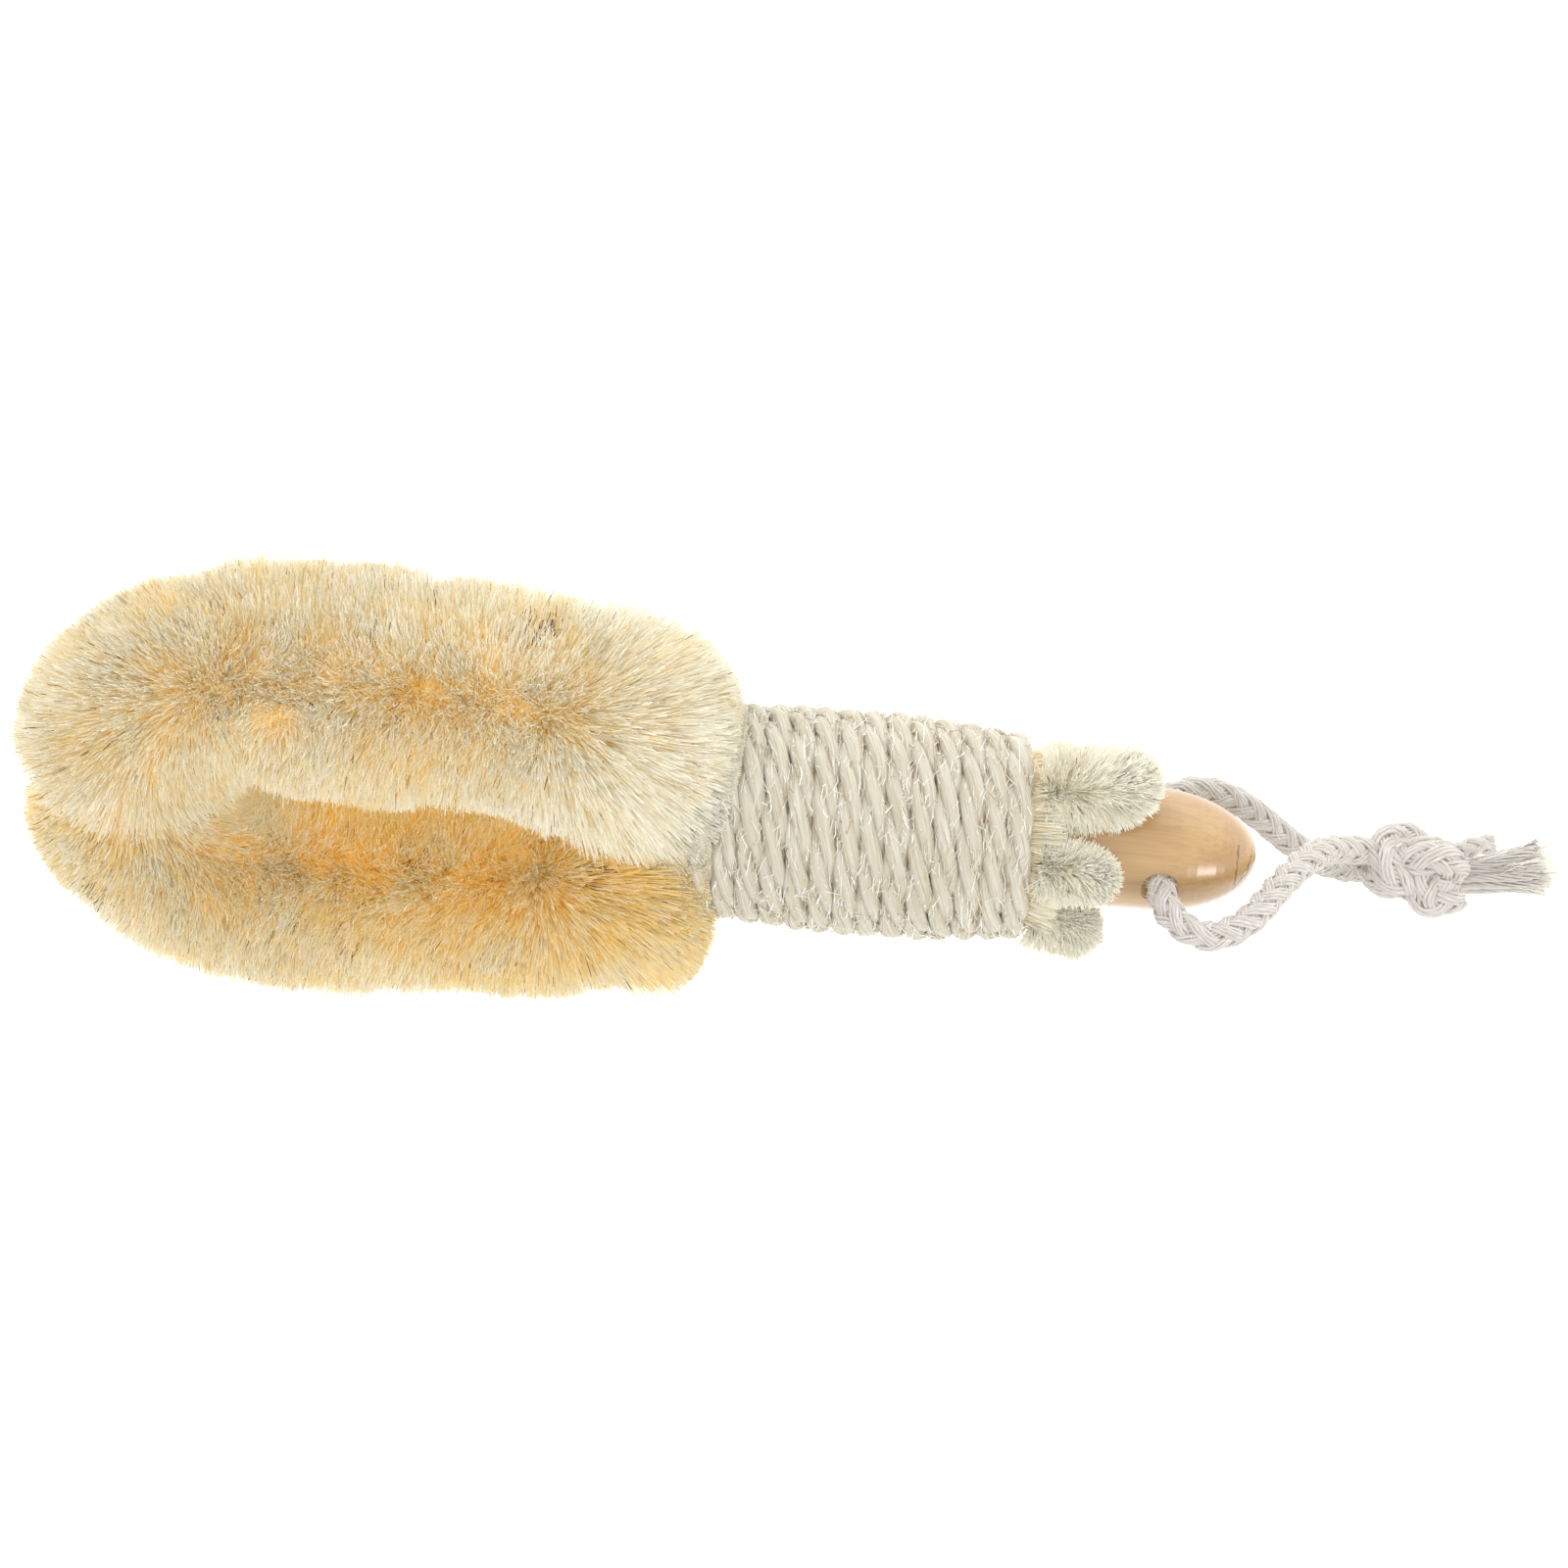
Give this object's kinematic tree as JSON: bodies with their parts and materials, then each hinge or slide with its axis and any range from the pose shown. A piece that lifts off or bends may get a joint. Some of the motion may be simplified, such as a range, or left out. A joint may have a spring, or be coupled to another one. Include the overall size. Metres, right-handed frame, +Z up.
{
  "type": "body dry brush",
  "caption": "Sisal dry brush: looped twisted-wire bristle ropes bound with cord to a wooden dowel, with a braided hanging loop.",
  "frame": {"origin": "middle of the brush's underside box, without the hanging cord, on the surface that it lies on", "axes": "+X along the handle towards the hanging loop, +Y across the brush, +Z up from the surface it lies on"},
  "size_m": [0.4039, 0.126, 0.0634],
  "materials": {
    "lacquered_wood": "clear gloss lacquer",
    "sisal_rope": "laid natural fibre",
    "steel_wire": "galvanised",
    "sisal_bristle": "trimmed natural fibre",
    "cotton_cord": "braided cotton"
  },
  "bodies": {
    "brush": {"handle_dowel": "lacquered_wood", "binding_rope": "sisal_rope", "upper_wire_a": "steel_wire", "upper_wire_b": "steel_wire", "lower_wire_a": "steel_wire", "lower_wire_b": "steel_wire", "upper_bristles_right": "sisal_bristle", "upper_bristles_tip": "sisal_bristle", "upper_bristles_left": "sisal_bristle", "lower_bristles_right": "sisal_bristle", "lower_bristles_tip": "sisal_bristle", "lower_bristles_left": "sisal_bristle", "gripped_fibres_upper": "sisal_bristle", "gripped_fibres_lower": "sisal_bristle", "tail_tuft_upper_right": "sisal_bristle", "tail_tuft_upper_left": "sisal_bristle", "tail_tuft_lower_right": "sisal_bristle", "tail_tuft_lower_left": "sisal_bristle"},
    "hanging_cord": {"cord_over": "cotton_cord", "cord_under": "cotton_cord", "cord_knot": "cotton_cord", "cord_end_frayed": "cotton_cord", "cord_end_short": "cotton_cord"}
  },
  "joints": [
    {"name": "hanging_cord_swing", "type": "hinge", "parent": "brush", "child": "hanging_cord", "pos_m": [0.136, 0, 0.0305], "axis": [0, 0, 1], "range_deg": [-60, 60]}
  ]
}
